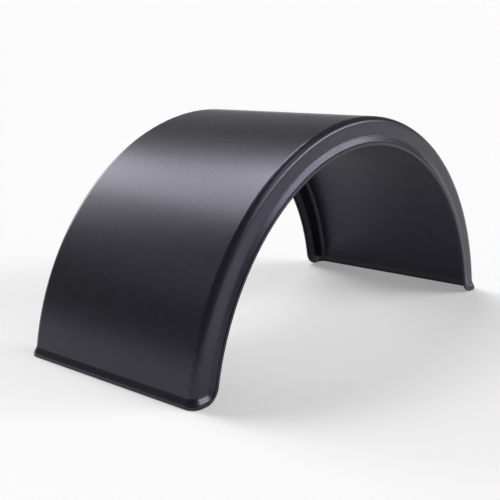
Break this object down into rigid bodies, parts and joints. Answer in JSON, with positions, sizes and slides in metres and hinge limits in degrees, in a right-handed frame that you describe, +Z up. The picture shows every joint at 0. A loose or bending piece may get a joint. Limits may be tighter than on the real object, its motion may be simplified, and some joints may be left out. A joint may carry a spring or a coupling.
{
  "type": "trailer mudguard",
  "caption": "Arched plastic mudguard for a trailer wheel, with rounded shoulders, side flanges and a flared rim all round.",
  "frame": {"origin": "on the floor, in the middle between the two feet and between the two flanges", "axes": "+Z up, X from foot to foot along the trailer, Y across the tread along the wheel's axis, with the higher flange at -Y"},
  "size_m": [0.7124, 0.3124, 0.3181],
  "materials": {
    "black_plastic": "moulded black polyethylene with a fine satin grain"
  },
  "bodies": {
    "root": {"mudguard": "black_plastic"}
  },
  "joints": []
}
